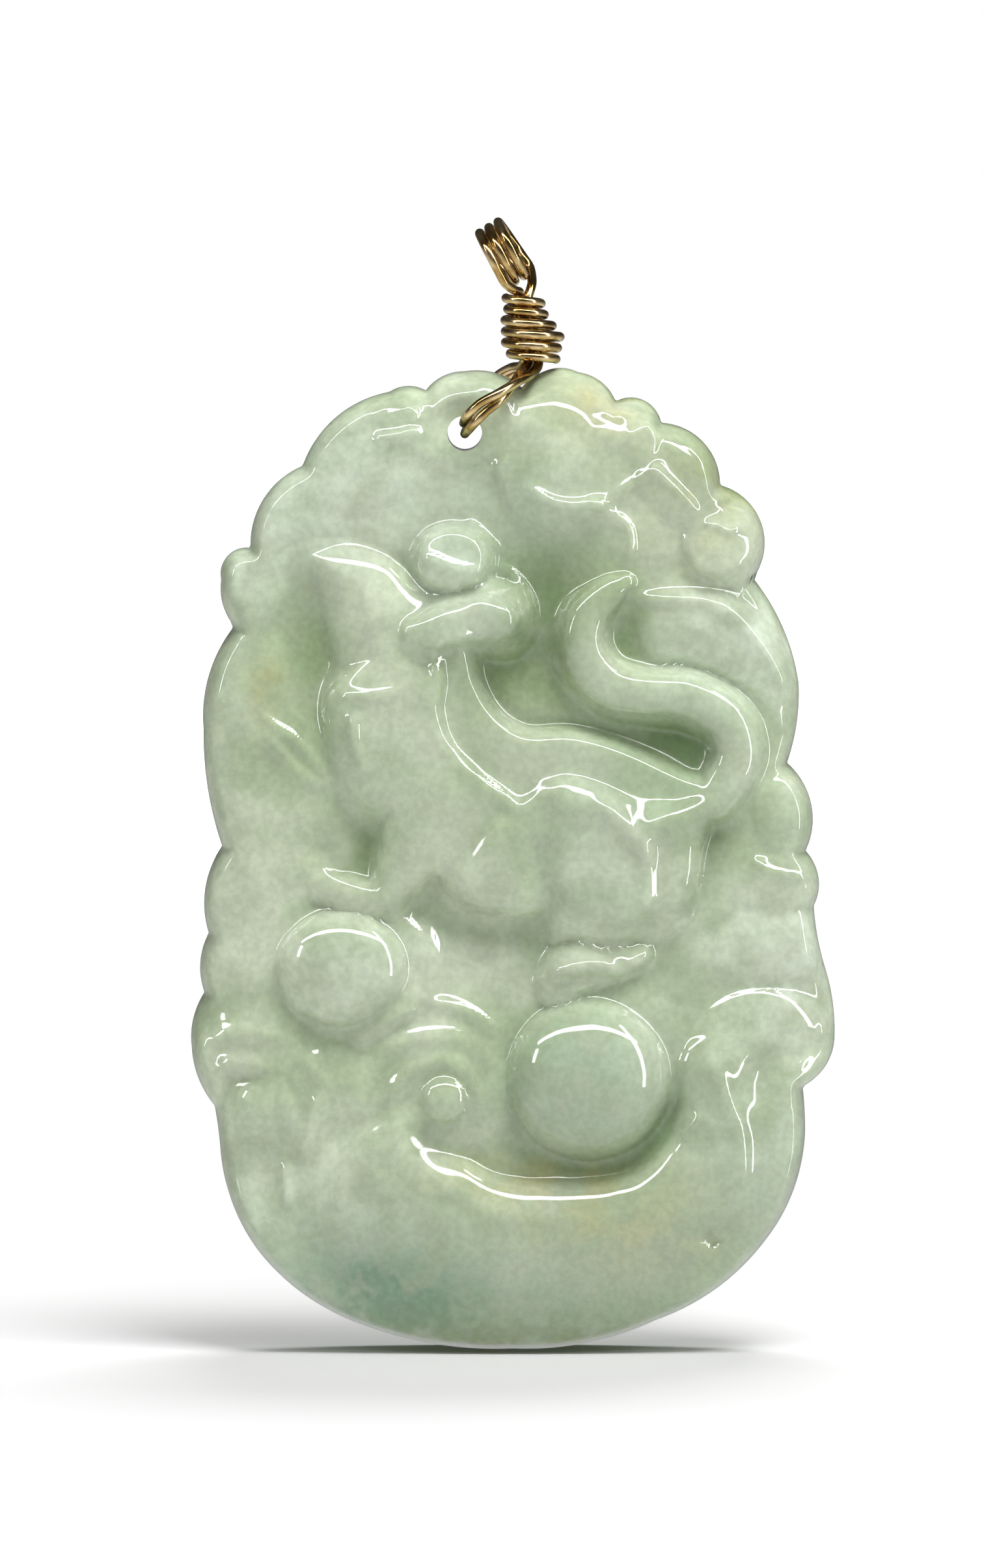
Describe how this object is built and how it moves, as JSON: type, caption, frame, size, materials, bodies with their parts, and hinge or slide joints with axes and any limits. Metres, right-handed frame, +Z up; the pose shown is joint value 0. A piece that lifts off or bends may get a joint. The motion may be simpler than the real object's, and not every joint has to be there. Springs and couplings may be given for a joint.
{
  "type": "jade mouse pendant",
  "caption": "Oval carved jade plaque with a lobed edge and a mouse, tail, clouds, fruit and scrolls in relief, drilled and hung on a wrapped gold-coloured wire loop.",
  "frame": {"origin": "inside top of the wire loop, where a neck chain bears", "axes": "+Z up as the pendant hangs, -Y the carved front, +X to the viewer's right, the way the mouse faces"},
  "size_m": [0.0356, 0.0094, 0.0625],
  "materials": {
    "jade": "polished, slightly translucent, pale green with whiter and greener clouds",
    "gold_wire": "polished gold colour"
  },
  "bodies": {
    "bail": {"bail_wire": "gold_wire", "wrap_wire": "gold_wire"},
    "stone": {"jade_plaque": "jade"}
  },
  "joints": [
    {"name": "stone_swing", "type": "hinge", "parent": "bail", "child": "stone", "pos_m": [-0.00146, 0, -0.01076], "axis": [0, 1, 0], "range_deg": [-1.5, 40]}
  ]
}
